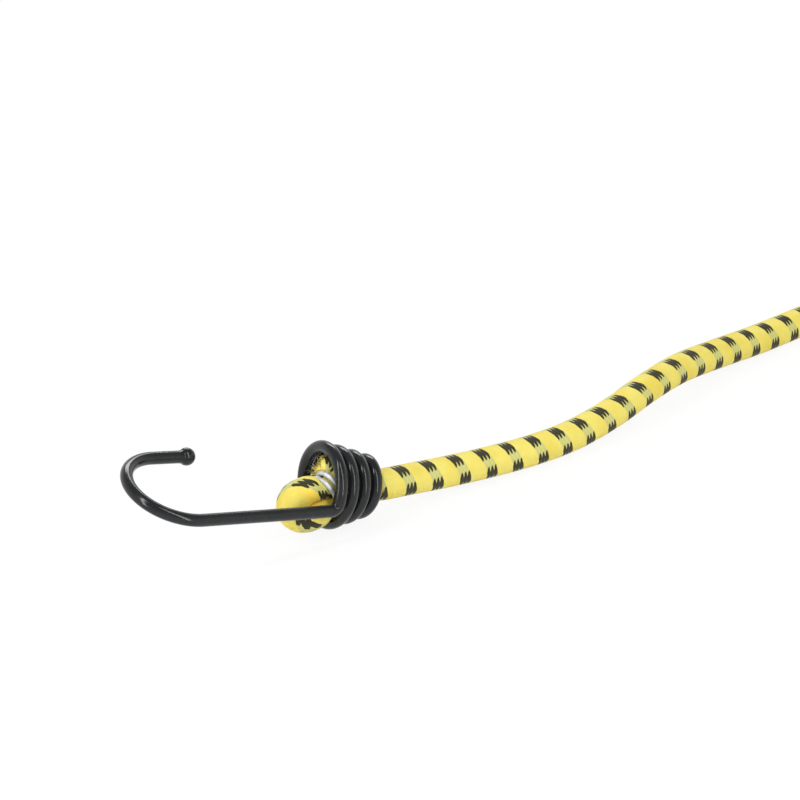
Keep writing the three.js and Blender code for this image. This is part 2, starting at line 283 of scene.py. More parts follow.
def freeCordPath(s):
    gap, straight = layout["gap"], s["straight"]
    run = [throatPoint("a", gap), throatPoint("a", gap + straight)] + [vec(*p) + shift for p in s["run"]]
    runLine, _ = chordSpline(run, s["stepsPerSpan"])
    away = unit(run[-1] - run[-2])
    heading = math.atan2(away[1], away[0])
    entry = run[-1] + away * (gap + s["tubeEnd"])
    turns, exitHeading = storedTurns(s, entry, heading)
    out = vec(math.cos(exitHeading), math.sin(exitHeading))
    last = turns[-1]
    start = last + out * (s["tubeEnd"] + gap)

    def leadAt(distance, height):
        point = start + out * distance
        point[2] = height
        return point

    lead = [leadAt(0, last[2]), leadAt(straight, last[2])] + [leadAt(d, h) for d, h in s["lead"]]
    lead += [throatPoint("b", gap + straight), throatPoint("b", gap)]
    leadLine, _ = chordSpline(lead, s["stepsPerSpan"])
    line = np.concatenate([runLine, np.array(turns), leadLine])
    return smoothPath(evenPath(line, s["step"]), s["smoothRounds"])


def markCount(along, turns, places):
    # how many turns of the black yarns lie before each place on the cord
    pitch, window = cordSet["markPitch"], cordSet["markWindow"]
    count = np.interp(along, places, turns)
    count = np.where(along < places[0], turns[0] + (along - places[0]) / pitch, count)
    count = np.where(along > places[-1], turns[-1] + (along - places[-1]) / pitch, count)
    count = np.pad(count, window // 2, mode="reflect", reflect_type="odd")
    return np.convolve(count, np.ones(window) / window, mode="valid")


def mappedTube(name, rings, yarnMap, material):
    # tube with its own map: u once round, v in turns of the yarns; the map has one column more than sides
    verts, faces = ringTube(rings)
    obj = meshObject(name, np.array(verts) * mm, faces, material)
    layer = obj.data.uv_layers.new(name="yarnMap")
    uv = np.zeros((len(obj.data.loops), 2))
    n = 0
    count, sides = len(rings), len(rings[0])
    for face in faces:
        if len(face) == 4:
            i, k = divmod(face[0], sides)
            uv[n:n + 4] = [yarnMap[i, k], yarnMap[i, k + 1], yarnMap[i + 1, k + 1], yarnMap[i + 1, k]]
            n += 4
        else:
            uv[n:n + 3] = yarnMap[0 if face[0] == count * sides else count - 1, 0]
            n += 3
    layer.data.foreach_set("uv", uv.ravel())
    return obj


def roundRings(path, ups, radius, sides):
    across = np.cross(tangents(path), ups)
    angles = np.linspace(0, 2 * math.pi, sides, endpoint=False)
    return [[p + up * radius * math.cos(a) + side * radius * math.sin(a) for a in angles]
            for p, up, side in zip(path, ups, across)]


# Materials

class Nodes:
    # short way to lay out a node tree
    def __init__(self, tree):
        self.tree = tree
        self.tree.nodes.clear()

    def add(self, kind, inputs=None, **settings):
        node = self.tree.nodes.new(kind)
        for key, value in settings.items():
            setattr(node, key, value)
        for key, value in (inputs or {}).items():
            self.feed(node.inputs[key], value)
        return node

    def feed(self, socket, value):
        if isinstance(value, bpy.types.NodeSocket):
            self.tree.links.new(value, socket)
        else:
            socket.default_value = value

    def math(self, operation, a, b=0.0, clamp=False):
        return self.add("ShaderNodeMath", {0: a, 1: b}, operation=operation, use_clamp=clamp).outputs[0]

    def plus(self, a, b):
        return self.math("ADD", a, b)

    def minus(self, a, b):
        return self.math("SUBTRACT", a, b)

    def times(self, a, b):
        return self.math("MULTIPLY", a, b)

    def size(self, a):
        return self.math("ABSOLUTE", a)

    def beyondHalf(self, a):
        # the part after the point, less a half
        return self.minus(self.math("FRACT", a), 0.5)

    def joined(self, x, y, z=0.0):
        return self.add("ShaderNodeCombineXYZ", {0: x, 1: y, 2: z}).outputs[0]

    def noise(self, where, scale, detail):
        inputs = {"Vector": where, "Scale": scale, "Detail": detail}
        return self.add("ShaderNodeTexNoise", inputs).outputs["Fac"]

    def mixColour(self, share, a, b):
        return self.add("ShaderNodeMix", {0: share, 6: a, 7: b}, data_type="RGBA").outputs[2]

    def step(self, value, low, high):
        inputs = {"Value": value, "From Min": low, "From Max": high}
        return self.add("ShaderNodeMapRange", inputs, interpolation_type="SMOOTHSTEP").outputs["Result"]

    def bump(self, height, look):
        inputs = {"Height": height, "Strength": look["bumpStrength"], "Distance": look["bumpHeight"]}
        return self.add("ShaderNodeBump", inputs).outputs[0]

    def shown(self, shader, kind="Material"):
        self.add("ShaderNodeOutput" + kind, {0: shader.outputs[0]})


def newMaterial(name):
    material = bpy.data.materials.new(name)
    material.use_nodes = True
    return material, Nodes(material.node_tree)


def objectPlace(n):
    return n.add("ShaderNodeTexCoord").outputs["Object"]


sheathLook = {
    "yarnsRound": 8.0,                   # yarns that run one way
    "blackYarns": 3.0,                   # of those, side by side
    "blackSwell": 1.08,                  # the black ones are a little thicker
    "floatShare": 0.57,                  # how much of a yarn lies on top
    "floatEdge": 0.02,                   # softness of a float's ends
    "taper": 0.13,                       # how pointed they are
    "patchTurn": 0.061,                  # middle of the first patch, in turns from the top
    "driftScale": 900.0,                 # the yarns wander a little
    "drift": 0.05,
    "otherDrift": -0.7,                  # and those that run the other way do so against them
    "patchScale": 130.0,                 # patches of a warmer yellow
    "patchRange": (0.35, 0.7),
    "riseRange": (0.12, -0.2),           # where a yarn rises and dives, beside the ends of its float
    "underHeight": 0.8,                  # height of the yarns that run the other way
    "fibresAcross": 90.0,
    "fibresAlong": 7.0,
    "fibreRange": (0.45, 0.75),
    "fibreShare": 0.35,
    "fibreHeight": 0.35,
    # painted shade: where the yarns lie low, in the gaps between them, the colour is drawn a darker, warmer
    # yellow
    "gapShadeRange": (0.35, 0.0),
    "gapShadeShare": 0.35,
    "yellow": (0.77, 0.665, 0.14, 1),
    "paleYellow": (0.83, 0.75, 0.28, 1),
    # a warmer yellow for patches that differ at random, and also the painted shade in the gaps between yarns
    "warmYellowAndGapShade": (0.74, 0.59, 0.085, 1),
    # painted bounce light: the deeper yellow drawn where the two legs of a fold face each other, and at the
    # warm spot in front
    "bounceLightYellow": (0.96, 0.61, 0.03, 1),
    "bounceLightShare": 0.8,
    "black": (0.032, 0.030, 0.013, 1),
    "ghost": (0.50, 0.51, 0.20, 1),      # a black yarn below a yellow one
    "ghostShare": 0.92,
    "ghostLeast": 0.5,                   # how much of that is left between two yarns
    "ghostRange": (0.5, 0.2),
    "roughness": 0.62,
    "specular": 0.25,
    "sheen": 0.04,
    "sheenRoughness": 0.4,
    "bumpStrength": 0.55,
    "bumpHeight": 0.00012,
}


def sheathMaterial(name, s):
    material, n = newMaterial(name)
    apart = n.add("ShaderNodeSeparateXYZ", {0: n.add("ShaderNodeUVMap", uv_map="yarnMap").outputs[0]})
    u, v = apart.outputs[0], apart.outputs[1]
    place = objectPlace(n)
    drift = n.times(n.minus(n.noise(place, s["driftScale"], 2.0), 0.5), s["drift"])
    patches = n.noise(place, s["patchScale"], 2.0)
    count = s["yarnsRound"]
    blackShare = s["blackYarns"] / count

    # distance from the middle of the black yarns, which take a little more room than the others
    half, swell = blackShare / 2, s["blackSwell"]
    slope = n.minus(v, u)
    fromBlack = n.beyondHalf(n.plus(n.plus(slope, drift), s["patchTurn"] + 0.5))
    away = n.size(fromBlack)
    outer = n.plus(half, n.times(n.minus(away, half * swell), (0.5 - half) / (0.5 - half * swell)))
    away = n.math("MINIMUM", n.math("MAXIMUM", n.math("DIVIDE", away, swell), outer), 0.5)

    # place across the yarns that climb with the turn, and across those that climb against it
    climbing = n.plus(n.times(away, n.math("SIGN", fromBlack)), half)
    falling = n.plus(n.plus(v, u), n.times(drift, s["otherDrift"]))
    climbingAt = n.times(climbing, count)
    climbingYarn = n.math("FLOOR", climbingAt)
    climbingEdge = n.size(n.beyondHalf(climbingAt))
    fallingEdge = n.size(n.beyondHalf(n.times(falling, count)))

    # along a climbing yarn: on top for a share of each half turn, counted from the middle of the black yarns
    yarnMiddle = n.math("DIVIDE", n.plus(climbingYarn, 0.5 - s["blackYarns"] / 2), count)
    run = n.minus(n.minus(falling, n.minus(slope, fromBlack)), yarnMiddle)
    run = n.minus(run, 2 * s["patchTurn"])
    phase = n.size(n.beyondHalf(n.plus(n.times(run, 2.0), 0.5)))
    # a yarn dives at its edges first, so each float ends in a point
    pointed = n.times(n.minus(climbingEdge, 0.25), s["taper"])
    halfFloat = s["floatShare"] / 2
    onTop = n.step(n.plus(phase, pointed), halfFloat + s["floatEdge"], halfFloat - s["floatEdge"])
    group = n.minus(n.math("FRACT", n.math("DIVIDE", n.plus(climbingYarn, 0.5), count)), blackShare)
    isBlack = n.math("LESS_THAN", group, 0.0)

    def crown(edge):
        # height of a rounded yarn at a place beside its middle
        return n.minus(1.0, n.math("POWER", n.times(edge, 2.0), 2.0))

    rise, dive = s["riseRange"]
    over = n.times(crown(climbingEdge), n.step(phase, halfFloat + rise, halfFloat + dive))
    under = n.times(crown(fallingEdge), s["underHeight"])
    yarnHeight = n.add("ShaderNodeMix", {0: onTop, 2: under, 3: over}, data_type="FLOAT").outputs[0]
    fibrePlace = n.joined(n.times(climbing, s["fibresAcross"]), n.times(falling, s["fibresAlong"]))
    fibre = n.noise(fibrePlace, 1.0, 3.0)

    tone = n.mixColour(n.step(patches, *s["patchRange"]), s["yellow"], s["warmYellowAndGapShade"])
    tone = n.mixColour(n.times(n.step(fibre, *s["fibreRange"]), s["fibreShare"]), tone, s["paleYellow"])
    # painted shade: the gaps between the yarns are drawn in the darker, warmer yellow
    tone = n.mixColour(n.times(n.step(yarnHeight, *s["gapShadeRange"]), s["gapShadeShare"]), tone, s["warmYellowAndGapShade"])
    # painted bounce light: light that goes to and fro between the two legs of a fold comes out a deeper
    # yellow, and that is drawn into the colour here from the crease attribute
    crease = n.add("ShaderNodeAttribute", attribute_name="crease").outputs["Fac"]
    tone = n.mixColour(n.times(crease, s["bounceLightShare"]), tone, s["bounceLightYellow"])
    ghost = n.times(n.step(climbingEdge, *s["ghostRange"]), 1.0 - s["ghostLeast"])
    ghost = n.times(n.plus(ghost, s["ghostLeast"]), s["ghostShare"])
    below = n.mixColour(n.times(isBlack, ghost), tone, s["ghost"])
    above = n.mixColour(isBlack, tone, s["black"])

    n.shown(n.add("ShaderNodeBsdfPrincipled", {
        "Base Color": n.mixColour(onTop, below, above), "Roughness": s["roughness"],
        "Normal": n.bump(n.plus(yarnHeight, n.times(fibre, s["fibreHeight"])), s),
        "Sheen Weight": s["sheen"], "Sheen Roughness": s["sheenRoughness"],
        "Specular IOR Level": s["specular"],
    }))
    return material


wireLook = {
    "black": (0.009, 0.0097, 0.0105, 1),
    "worn": (0.014, 0.015, 0.0165, 1),
    "rippleScale": 160.0,
    "rippleRange": (0.3, 0.8),
    "fineScale": 1500.0,
    "fineRange": (0.4, 0.8),
    "fineRoughness": 0.06,
    "fineHeight": 0.015,
    "roughness": 0.15,
    "specular": 0.36,
    "bumpStrength": 0.2,
    "bumpHeight": 0.0003,
}


def coatedMaterial(name, s):
    material, n = newMaterial(name)
    place = objectPlace(n)
    ripple = n.noise(place, s["rippleScale"], 2.0)
    fine = n.noise(place, s["fineScale"], 3.0)
    n.shown(n.add("ShaderNodeBsdfPrincipled", {
        "Base Color": n.mixColour(n.step(ripple, *s["rippleRange"]), s["black"], s["worn"]),
        "Roughness": n.plus(s["roughness"], n.times(n.step(fine, *s["fineRange"]), s["fineRoughness"])),
        "Normal": n.bump(n.plus(ripple, n.times(fine, s["fineHeight"])), s),
        "Specular IOR Level": s["specular"],
    }))
    return material


zincLook = {
    "bright": (0.70, 0.73, 0.77, 1),
    "dull": (0.50, 0.53, 0.56, 1),
    "patchScale": 700.0,
    "patchRange": (0.4, 0.7),
    "roughness": 0.42,
    "patchRoughness": 0.2,
    "metallic": 0.6,
    "bumpStrength": 0.3,
    "bumpHeight": 0.0001,
}


def zincMaterial(name, s):
    material, n = newMaterial(name)
    patches = n.noise(objectPlace(n), s["patchScale"], 3.0)
    n.shown(n.add("ShaderNodeBsdfPrincipled", {
        "Base Color": n.mixColour(n.step(patches, *s["patchRange"]), s["bright"], s["dull"]),
        "Roughness": n.plus(s["roughness"], n.times(patches, s["patchRoughness"])),
        "Metallic": s["metallic"], "Normal": n.bump(patches, s),
    }))
    return material


threadLook = {
    "rubber": {"light": (0.80, 0.76, 0.60, 1), "dark": (0.66, 0.58, 0.38, 1), "roughness": 0.6},
    "looseYellow": {"light": (0.86, 0.73, 0.16, 1), "dark": (0.70, 0.53, 0.07, 1), "roughness": 0.7},
    "looseBlack": {"light": (0.035, 0.033, 0.024, 1), "dark": (0.09, 0.085, 0.05, 1), "roughness": 0.7},
    "grain": {"scale": 1800.0, "range": (0.35, 0.65), "bumpStrength": 0.3, "bumpHeight": 0.00005},
}


def threadMaterial(name, s, grain):
    material, n = newMaterial(name)
    noise = n.noise(objectPlace(n), grain["scale"], 2.0)
    n.shown(n.add("ShaderNodeBsdfPrincipled", {
        "Base Color": n.mixColour(n.step(noise, *grain["range"]), s["light"], s["dark"]),
        "Roughness": s["roughness"], "Normal": n.bump(noise, grain),
    }))
    return material


sheathFinish = sheathMaterial("yellowBraid", sheathLook)
rubberFinish = threadMaterial("rubber", threadLook["rubber"], threadLook["grain"])
looseYellow = threadMaterial("looseYellowYarn", threadLook["looseYellow"], threadLook["grain"])
looseBlack = threadMaterial("looseBlackYarn", threadLook["looseBlack"], threadLook["grain"])
wireFinish = coatedMaterial("blackCoating", wireLook)
zincFinish = zincMaterial("galvanised", zincLook)


def buildFreeCord(s):
    path = freeCordPath(s)
    ups = upDirections(path)
    along = lengthsAlong(path)
    start = layout["throatFace"] + layout["gap"] - layout["marksFrom"]
    turns = markCount(along + start, s["markTurns"], s["markPlaces"])
    yarnMap = np.stack(np.meshgrid(np.linspace(0, 1, s["sides"] + 1), turns), axis=2)
    obj = mappedTube("cord", roundRings(path, ups, s["diameter"] / 2, s["sides"]), yarnMap, sheathFinish)
    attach(obj, "cord")
    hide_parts("sheath_run", "core_run", "sheath_coil", "core_coil", "sheath_lead", "core_lead")
    print("free cord is", round(along[-1], 1), "mm long")


buildFreeCord(cordSet)
print("stage: free cord laid")

# Geometry Nodes trees, and the swept wire of hooks and clamps

def nodeTree(name, kinds):
    # a tree with named inputs
    tree = bpy.data.node_groups.new(name, "GeometryNodeTree")
    tree.interface.new_socket("Geometry", in_out="INPUT", socket_type="NodeSocketGeometry")
    tree.interface.new_socket("Geometry", in_out="OUTPUT", socket_type="NodeSocketGeometry")
    for key, kind in kinds.items():
        tree.interface.new_socket(key, in_out="INPUT", socket_type="NodeSocket" + kind)
    n = Nodes(tree)
    return n, n.add("NodeGroupInput").outputs


def endTree(n, geometry, finish):
    real = n.add("GeometryNodeRealizeInstances", {0: geometry})
    dressed = n.add("GeometryNodeSetMaterial", {"Geometry": real.outputs[0], "Material": finish})
    n.add("NodeGroupOutput", {0: dressed.outputs[0]})


def treeResult(obj, tree, values, name):
    # what the tree makes of the object, as a plain mesh object in its place
    modifier = obj.modifiers.new(tree.name, "NODES")
    modifier.node_group = tree
    for item in tree.interface.items_tree:
        if item.name in values:
            modifier[item.identifier] = values[item.name]
    shown = obj.evaluated_get(bpy.context.evaluated_depsgraph_get())
    mesh = bpy.data.meshes.new_from_object(shown)
    mesh.name = name
    result = bpy.data.objects.new(name, mesh)
    scene.collection.objects.link(result)
    bpy.data.objects.remove(obj, do_unlink=True)
    return result


def sweptWireTree():
    n, entry = nodeTree("sweptWire", {"Faces Round": "Int", "Finish": "Material"})
    profile = n.add("GeometryNodeCurvePrimitiveCircle", {"Resolution": entry["Faces Round"], "Radius": 1.0})
    sweep = n.add("GeometryNodeCurveToMesh", {
        "Curve": entry["Geometry"], "Profile Curve": profile.outputs["Curve"], "Fill Caps": True,
    })
    if "Scale" in sweep.inputs:                # the wire's radius at each point of its line
        n.feed(sweep.inputs["Scale"], n.add("GeometryNodeInputRadius").outputs[0])
    smooth = n.add("GeometryNodeSetShadeSmooth", {"Geometry": sweep.outputs[0]})
    endTree(n, smooth.outputs[0], entry["Finish"])
    return n.tree


wireTree = sweptWireTree()


def sweptWire(name, path, radii, facesRound, finish):
    curve = bpy.data.curves.new(name + "Line", "CURVE")
    curve.dimensions = "3D"
    curve.twist_mode = "MINIMUM"
    spline = curve.splines.new("POLY")
    spline.points.add(len(path) - 1)
    for point, place, radius in zip(spline.points, path, radii):
        point.co = (*(place * mm), 1)
        point.radius = radius * mm
    line = bpy.data.objects.new(name + "Line", curve)
    scene.collection.objects.link(line)
    return treeResult(line, wireTree, {"Faces Round": facesRound, "Finish": finish}, name)


# Hooks

hookSet = {
    "wire": 3.2,
    "ball": 4.5,
    "mouthRadius": 10.15,
    "throatRadius": 6.1,
    "pitch": 4.25,
    "turns": 3.5,
    "backSwell": 0.8,                     # the back of the second turn stands out, close behind the first
    "backPull": 0.6,
    "backMiddleDeg": 556.0,
    "backReachDeg": 84.0,
    "cornerRadius": 2.6,
    "shank": 40.5,
    "flareDeg": 3.1,
    "dropDeg": 16.5,
    "bendRadius": 12.85,
    "bendDeg": 181.0,
    "prong": 10.2,
    "stepsPerTurn": 84,
    # rounded cut end: rings at these shares of its length, in place of the last steps of the coil
    "cutRings": (1.0, 0.92, 0.72, 0.42, 0.0),
    "cutLength": 0.5,
    "cutFlatness": 0.96,
    "cutSteps": 3,
    "cornerSteps": 12,
    "shankSteps": 20,
    "bendSteps": 64,
    "prongSteps": 8,
    "neckSteps": 5,                       # the coating swells softly into the ball
    "neckBefore": 1.1,
    "neckLength": 1.3,
    "neckSwell": 0.16,
    "ballSteps": 24,
    "ballFrom": 0.1,                      # angles: first ring past the neck, last one short of the tip
    "ballTo": 0.02,
    "facesRound": 28,
}


def hookLine(s):
    def fromShank(phase):
        angle = math.pi + math.radians(s["dropDeg"]) - phase
        return vec(0, math.cos(angle), math.sin(angle))

    startPhase = math.asin(s["cornerRadius"] / s["mouthRadius"])

    def coilPoint(turns):
        radius = s["mouthRadius"] - (s["mouthRadius"] - s["throatRadius"]) * (turns / s["turns"])
        phase = startPhase + turns * 2 * math.pi
        fromBack = min(abs(math.degrees(phase) - s["backMiddleDeg"]) / s["backReachDeg"], 1)
        swell = math.cos(fromBack * math.pi / 2) ** 2
        advance = s["pitch"] * turns - s["backPull"] * swell
        return fromShank(phase) * (radius + s["backSwell"] * swell) + vec(advance, 0)

    wire = s["wire"] / 2
    path, radii = [], []

    def add(point, radius=wire):
        path.append(point)
        radii.append(radius)

    end = coilPoint(s["turns"])
    back = unit(end - coilPoint(s["turns"] - 0.01))
    for share in s["cutRings"]:
        thinner = math.sqrt(1 - share * share * s["cutFlatness"])
        add(end + back * (s["cutLength"] * wire * (share - 1)), wire * thinner)
    for i in range(round(s["turns"] * s["stepsPerTurn"]) - s["cutSteps"], 0, -1):
        add(coilPoint(i / s["stepsPerTurn"]))

    mouth = coilPoint(0)
    aside = fromShank(startPhase + math.pi / 2)
    corner = mouth - aside * s["cornerRadius"]
    outward = fromShank(0)
    flare = math.radians(s["flareDeg"])
    shank = vec(-math.cos(flare), 0) + outward * math.sin(flare)
    shankStart = corner + shank * s["cornerRadius"]
    for i in range(s["cornerSteps"] + 1):
        t = i / s["cornerSteps"]
        add(mouth * (1 - t) ** 2 + corner * 2 * t * (1 - t) + shankStart * t * t)
    bendStart = corner + shank * s["shank"]
    for i in range(1, s["shankSteps"]):
        add(shankStart + (bendStart - shankStart) * i / s["shankSteps"])
    inward = unit(-outward + shank * np.dot(outward, shank))

    def around(angle):
        return bendStart + (shank * math.sin(angle) + inward * (1 - math.cos(angle))) * s["bendRadius"]

    arc = math.radians(s["bendDeg"])
    for i in range(s["bendSteps"] + 1):
        add(around(arc * i / s["bendSteps"]))
    bendEnd = around(arc)
    prong = shank * math.cos(arc) + inward * math.sin(arc)
    ballAt = bendEnd + prong * s["prong"]
    ball = s["ball"] / 2
    neck = math.pi - math.asin(wire / ball)
    neckStart = s["prong"] + ball * math.cos(neck) - s["neckBefore"]
    for i in range(1, s["prongSteps"] + 1):
        add(bendEnd + prong * neckStart * i / s["prongSteps"])
    for i in range(1, s["neckSteps"]):
        t = i / s["neckSteps"]
        add(bendEnd + prong * (neckStart + s["neckLength"] * t), wire + s["neckSwell"] * t * t)
    ballFrom, ballTo = neck - s["ballFrom"], s["ballTo"]
    for i in range(s["ballSteps"] + 1):
        angle = ballFrom + (ballTo - ballFrom) * i / s["ballSteps"]
        add(ballAt + prong * ball * math.cos(angle), ball * math.sin(angle))
    return np.array(path), np.array(radii)


def buildHook(letter, s):
    path, radii = hookLine(s)
    name = "hookWire" + letter.upper()
    obj = sweptWire(name, placed(path, endMatrix(letter)), radii, s["facesRound"], wireFinish)
    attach(obj, "hook_" + letter)
    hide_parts("hook_" + letter)


for letter in "ab":
    buildHook(letter, hookSet)
print("stage: hooks wound")

# Clamps

clampSet = {
    "wire": 1.3,
    "loops": 1.5,
    "pitch": 2.0,
    "legSpacing": 5.3,
    "legDiameter": 5.0,
    "legRun": 1.4,
    "centre": (1.8, -2.5, -0.5),
    "riseDeg": 40.0,
    "leanDeg": 6.0,
    "twistDeg": 18.0,
    "stepsPerLap": 72,
    "smoothRounds": 3,
    "facesRound": 16,
}


def clampFrame(s):
    turn = rotation(s["leanDeg"], "Z") @ rotation(-s["riseDeg"], "Y") @ rotation(s["twistDeg"], "X")
    along = np.array(turn @ Vector((1, 0, 0)))
    across = np.array(turn @ Vector((0, 0, 1)))
    return along, across, np.cross(along, across), vec(*s["centre"])


def clampLine(s):
    along, across, beside, centre = clampFrame(s)
    radius = s["legDiameter"] / 2 + layout["gap"] + s["wire"] / 2
    straight = s["legSpacing"]
    arc = math.pi * radius
    lap = 2 * straight + 2 * arc
    path = []
    for i in range(int(s["loops"] * s["stepsPerLap"]) + 1):
        travelled = i / s["stepsPerLap"] * lap
        rest = travelled % lap
        if rest < arc:
            u, v = straight / 2 + radius * math.sin(rest / radius), -radius * math.cos(rest / radius)
        elif rest < arc + straight:
            u, v = straight / 2 - (rest - arc), radius
        elif rest < 2 * arc + straight:
            angle = (rest - arc - straight) / radius
            u, v = -straight / 2 - radius * math.sin(angle), radius * math.cos(angle)
        else:
            u, v = -straight / 2 + (rest - 2 * arc - straight), -radius
        advance = (travelled / lap - s["loops"] / 2) * s["pitch"]
        path.append(centre + along * advance + across * u + beside * v)
    return np.array(path)


def buildClamp(letter, s):
    path = placed(smoothPath(clampLine(s), s["smoothRounds"]), endMatrix(letter))
    radii = np.full(len(path), s["wire"] / 2)
    obj = sweptWire("clampWire" + letter.upper(), path, radii, s["facesRound"], zincFinish)
    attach(obj, "cord")
    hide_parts("clamp_" + letter)


for letter in "ab":
    buildClamp(letter, clampSet)
print("stage: clamps wound")

# Cut ends: rubber threads inside, frayed yarns round the rim

cutSet = {
    "rubber": {"length": 1.0, "radius": 0.3, "spread": 0.12, "bend": 0.1, "apart": 0.62, "seed": 4},
    "yellowYarn": {"length": 1.1, "radius": 0.05, "spread": 0.7, "bend": 0.6, "apart": 0.2, "seed": 7},
    "blackYarn": {"length": 1.9, "radius": 0.06, "spread": 1.2, "bend": 0.9, "apart": 0.26, "seed": 11},
    "shortest": 0.45,                     # share of the full length
    "rubberShare": 0.76,                  # how much of the cut the rubber fills
    "rimDrop": 0.35,
    "sides": 6,
    "steps": 6,
    "bowAt": 0.6,                         # where a thread starts to bow, as a share of its length
    "densest": 1e8,
}


def threadTree(s):
    # threads standing on the faces of the mesh that comes in
    n, entry = nodeTree("standingThreads", {
        "Apart": "Float", "Length": "Float", "Radius": "Float", "Spread": "Float", "Bend": "Float",
        "Shortest": "Float", "Seed": "Int", "Finish": "Material",
    })
    spots = n.add("GeometryNodeDistributePointsOnFaces", {
        "Mesh": entry["Geometry"], "Distance Min": entry["Apart"], "Density Max": s["densest"],
        "Seed": entry["Seed"],
    }, distribute_method="POISSON").outputs

    length = entry["Length"]
    bow = n.add("GeometryNodeCurveQuadraticBezier", {
        "Resolution": s["steps"], "Start": (0, 0, 0),
        "Middle": n.joined(0.0, 0.0, n.times(length, s["bowAt"])),
        "End": n.joined(n.times(length, entry["Bend"]), 0.0, length),
    })
    profile = n.add("GeometryNodeCurvePrimitiveCircle", {
        "Resolution": s["sides"], "Radius": entry["Radius"],
    })
    thread = n.add("GeometryNodeCurveToMesh", {
        "Curve": bow.outputs["Curve"], "Profile Curve": profile.outputs["Curve"], "Fill Caps": True,
    })
    smooth = n.add("GeometryNodeSetShadeSmooth", {"Geometry": thread.outputs[0]})

    most = entry["Spread"]
    least = n.times(most, -1.0)
    lean = n.add("FunctionNodeRandomValue", {
        0: n.joined(least, least, -math.pi), 1: n.joined(most, most, math.pi), "Seed": entry["Seed"],
    }, data_type="FLOAT_VECTOR")
    leanTurn = n.add("FunctionNodeEulerToRotation", {0: lean.outputs["Value"]})
    turned = n.add("FunctionNodeRotateRotation", {
        "Rotation": spots["Rotation"], "Rotate By": leanTurn.outputs[0],
    }, rotation_space="LOCAL")
    size = n.add("FunctionNodeRandomValue", {
        2: entry["Shortest"], 3: 1.0, "Seed": entry["Seed"],
    }, data_type="FLOAT")
    threads = n.add("GeometryNodeInstanceOnPoints", {
        "Points": spots["Points"], "Instance": smooth.outputs[0], "Rotation": turned.outputs[0],
        "Scale": n.joined(1.0, 1.0, size.outputs[1]),
    })
    endTree(n, threads.outputs[0], entry["Finish"])
    return n.tree


threadsTree = threadTree(cutSet)


def standingThreads(name, verts, faces, facing, s, shortest, finish):
    # threads on a small patch of faces that look along facing
    base = meshObject(name + "Base", np.array(verts) * mm, faces, finish)
    if np.dot(np.mean([p.normal for p in base.data.polygons], axis=0), facing) < 0:
        base.data.flip_normals()
    values = {
        "Apart": s["apart"] * mm, "Length": s["length"] * mm, "Radius": s["radius"] * mm,
        "Spread": s["spread"], "Bend": s["bend"], "Shortest": shortest, "Seed": s["seed"], "Finish": finish,
    }
    return treeResult(base, threadsTree, values, name)


def buildCutEnd(letter, s, rim, middle, outward):
    count = len(rim)
    low = middle - outward * s["rimDrop"]
    disc = [low] + [low + (p - middle) * s["rubberShare"] for p in rim]
    discFaces = [(0, k + 1, (k + 1) % count + 1) for k in range(count)]
    band = list(rim) + [middle + (p - middle) * foldSet["wall"] for p in rim]
    bandFaces = [(k, (k + 1) % count, count + (k + 1) % count, count + k) for k in range(count)]
    end = letter.upper()
    pieces = [
        ("rubberThreads", disc, discFaces, s["rubber"], rubberFinish, "core"),
        ("frayedYellow", band, bandFaces, s["yellowYarn"], looseYellow, "sheath"),
        ("frayedBlack", band, bandFaces, s["blackYarn"], looseBlack, "sheath"),
    ]
    for name, verts, faces, thread, finish, slot in pieces:
        obj = standingThreads(name + end, verts, faces, outward, thread, s["shortest"], finish)
        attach(obj, "cord")


# Folded ends of the cord

